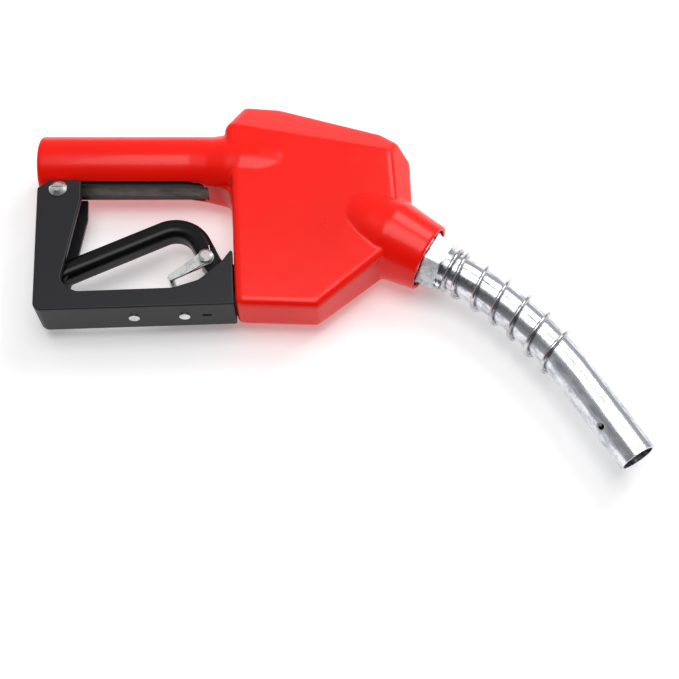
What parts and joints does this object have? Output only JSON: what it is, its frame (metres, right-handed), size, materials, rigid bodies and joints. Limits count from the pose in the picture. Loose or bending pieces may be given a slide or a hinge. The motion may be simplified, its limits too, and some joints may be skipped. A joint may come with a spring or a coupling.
{
  "type": "fuel nozzle",
  "caption": "Automatic shut-off fuel nozzle with a red hand insulator, black lever and guard, and a bent spout with an anchor spring.",
  "frame": {"origin": "Centre of the inlet mouth, on the axis of the handle tube.", "axes": "+X forward along the handle, +Y to the nozzle's top side, +Z sideways, up as the nozzle lies on its side."},
  "size_m": [0.3288, 0.2186, 0.0452],
  "materials": {
    "casting": "dark grey coated die casting",
    "red_vinyl": "glossy dipped vinyl",
    "black_plastic": "satin moulded plastic",
    "zinc_steel": "zinc plated",
    "brass": "machined",
    "black_rubber": "moulded",
    "spring_steel": "drawn wire",
    "ptfe": "turned",
    "bare_aluminium": "drawn and machined",
    "stainless": "turned",
    "plated_nut": "nickel plated",
    "acetal": "moulded",
    "black_lever": "smooth coated"
  },
  "bodies": {
    "body": {"body_casting": "casting", "hand_insulator": "red_vinyl", "lever_guard": "black_plastic", "guard_rear_screw": "zinc_steel", "guard_rear_nut": "zinc_steel", "guard_front_screw": "zinc_steel", "hold_open_rack": "zinc_steel", "rack_rivets": "zinc_steel", "poppet_cap": "brass", "cap_o_ring": "black_rubber", "poppet_spring": "spring_steel", "stem_packing": "ptfe", "stem_gland": "brass", "plunger_bush": "brass", "plunger_spring": "spring_steel", "diaphragm": "black_rubber", "diaphragm_cover": "bare_aluminium", "diaphragm_spring": "spring_steel", "spout_tube": "bare_aluminium", "vent_tube": "bare_aluminium", "vent_ferrule": "stainless", "spout_nut": "plated_nut", "spout_adaptor": "bare_aluminium", "adaptor_o_ring": "black_rubber", "check_spring": "spring_steel", "anchor_spring": "spring_steel", "inlet_strainer": "stainless"},
    "valve": {"main_poppet": "brass", "poppet_seal": "black_rubber", "poppet_retainer": "stainless", "valve_stem": "stainless"},
    "plunger": {"trip_plunger": "stainless", "latch_rollers": "stainless", "lever_pin": "stainless"},
    "latch": {"latch_pin": "stainless", "diaphragm_plate": "stainless"},
    "lever": {"lever": "black_lever", "clip_rivet": "zinc_steel", "clip_spring": "spring_steel"},
    "clip": {"hold_open_clip": "zinc_steel"},
    "check": {"check_poppet": "acetal"}
  },
  "joints": [
    {"name": "plunger_trip", "type": "slide", "parent": "body", "child": "plunger", "axis": [0, -1, 0], "range_m": [0, 0.005], "stiffness_N_per_m": 400, "springref_m": -0.006, "deforming": ["plunger_spring"]},
    {"name": "lever_squeeze", "type": "hinge", "parent": "plunger", "child": "lever", "pos_m": [0.155, -0.08, 0], "axis": [0, 0, -1], "range_deg": [0, 12], "stiffness_Nm_per_rad": 0.6, "springref_deg": -34.38},
    {"name": "valve_lift", "type": "slide", "parent": "body", "child": "valve", "axis": [0, 1, 0], "range_m": [0, 0.0072], "stiffness_N_per_m": 600, "springref_m": -0.003, "deforming": ["poppet_spring"]},
    {"name": "clip_swing", "type": "hinge", "parent": "lever", "child": "clip", "pos_m": [0.0954, -0.0636, 0], "axis": [0, 0, 1], "range_deg": [0, 34], "stiffness_Nm_per_rad": 0.006, "springref_deg": -34.38, "deforming": ["clip_spring"]},
    {"name": "latch_lift", "type": "slide", "parent": "body", "child": "latch", "axis": [0, 1, 0], "range_m": [0, 0.0025], "stiffness_N_per_m": 300, "springref_m": -0.002, "deforming": ["diaphragm", "diaphragm_spring"]},
    {"name": "check_open", "type": "slide", "parent": "body", "child": "check", "axis": [0.8572, -0.515, 0], "range_m": [0, 0.004], "stiffness_N_per_m": 120, "springref_m": -0.002, "deforming": ["check_spring"]}
  ],
  "couplings": [
    {"joint": "valve_lift", "follows": "lever_squeeze", "m_per_rad": 0.0333}
  ]
}
